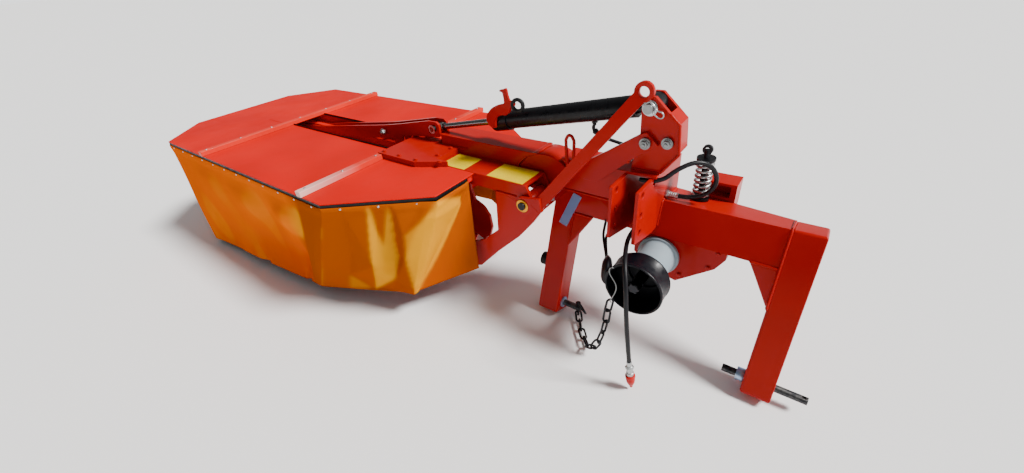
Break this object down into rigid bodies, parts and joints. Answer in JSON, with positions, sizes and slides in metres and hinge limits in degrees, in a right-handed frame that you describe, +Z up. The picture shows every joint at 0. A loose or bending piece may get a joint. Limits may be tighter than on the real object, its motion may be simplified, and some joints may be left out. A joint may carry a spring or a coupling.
{
  "type": "drum mower",
  "caption": "Rear-mounted twin-drum mower: octagonal hood with cloth skirt, folding cutter unit on a three-point headstock, lift cylinder, drive bell and hitch pins.",
  "frame": {"origin": "on the ground, under the middle of the overall length and width", "axes": "+X from the cutter unit to the headstock, -Y towards the tractor, +Z up"},
  "size_m": [2.82, 0.9666, 0.85],
  "materials": {
    "red_paint": "gloss",
    "yellow_cloth": "coated cloth",
    "black_rubber": "matt",
    "steel": "plain",
    "chrome": "polished",
    "grey_plastic": "matt",
    "black_paint": "gloss",
    "black_steel": "blackened"
  },
  "bodies": {
    "headstock": {"crossbeam": "red_paint", "leg_left": "red_paint", "leg_right": "red_paint", "hitch_pin_left": "black_steel", "linch_pin": "black_steel", "hitch_pin_right": "black_steel", "clevis_plates": "red_paint", "clevis_bridge": "red_paint", "mast": "red_paint", "mast_pins": "steel", "brace_upper": "red_paint", "brace_lower": "red_paint", "stub_box": "red_paint", "hinge_sleeve": "red_paint", "loop_handle": "red_paint", "spring": "steel", "spring_rod": "black_steel", "rear_bracket": "red_paint", "drive_guard": "red_paint", "drive_housing": "grey_plastic", "pto_bell": "black_rubber", "bump_stop": "black_rubber", "chain": "black_steel", "hose_loop": "black_rubber", "hose_drop": "black_rubber", "hose_lift": "black_rubber", "hose_glands": "black_steel", "hose_coupler": "black_steel"},
    "cutter": {"hood": "red_paint", "hood_bars": "red_paint", "hood_brackets": "red_paint", "edge_strip": "black_rubber", "skirt": "yellow_cloth", "main_beam": "red_paint", "gear_cover": "red_paint", "carrying_beam": "red_paint", "rear_box": "red_paint", "curved_arm": "red_paint", "inner_plate": "red_paint", "spindles": "steel", "lift_lever": "red_paint", "hinge_pin": "steel"},
    "drum_outer": {"drum_outer": "red_paint", "knives_outer": "steel"},
    "drum_inner": {"drum_inner": "red_paint", "knives_inner": "steel"},
    "dish_outer": {"dish_outer": "steel"},
    "dish_inner": {"dish_inner": "steel"},
    "barrel": {"lift_barrel": "black_paint", "latch_hook": "red_paint"},
    "rod": {"lift_rod": "chrome"},
    "input_shaft": {"pto_shaft": "steel"}
  },
  "joints": [
    {"name": "fold", "type": "hinge", "parent": "headstock", "child": "cutter", "pos_m": [0.547, 0, 0.475], "axis": [0, 1, 0], "range_deg": [-7, 48]},
    {"name": "barrel_swing", "type": "hinge", "parent": "headstock", "child": "barrel", "pos_m": [0.879, 0.085, 0.783], "axis": [0, 1, 0], "range_deg": [-4, 27]},
    {"name": "rod_slide", "type": "slide", "parent": "barrel", "child": "rod", "axis": [0.978, 0, 0.2087], "range_m": [-0.037, 0.2515]},
    {"name": "drum_outer_turn", "type": "hinge", "parent": "cutter", "child": "drum_outer", "pos_m": [-0.957, 0, 0.2], "axis": [0, 0, 1], "continuous": true},
    {"name": "drum_inner_turn", "type": "hinge", "parent": "cutter", "child": "drum_inner", "pos_m": [-0.197, 0, 0.2], "axis": [0, 0, 1], "continuous": true},
    {"name": "dish_outer_turn", "type": "hinge", "parent": "cutter", "child": "dish_outer", "pos_m": [-0.957, 0, 0.03], "axis": [0, 0, 1], "continuous": true},
    {"name": "dish_inner_turn", "type": "hinge", "parent": "cutter", "child": "dish_inner", "pos_m": [-0.197, 0, 0.03], "axis": [0, 0, 1], "continuous": true},
    {"name": "input_turn", "type": "hinge", "parent": "headstock", "child": "input_shaft", "pos_m": [0.931, 0, 0.315], "axis": [0, 1, 0], "continuous": true}
  ],
  "couplings": [
    {"joint": "barrel_swing", "follows": "fold", "ratio": 0.56},
    {"joint": "rod_slide", "follows": "fold", "m_per_rad": 0.3},
    {"joint": "drum_inner_turn", "follows": "drum_outer_turn", "ratio": -1}
  ]
}
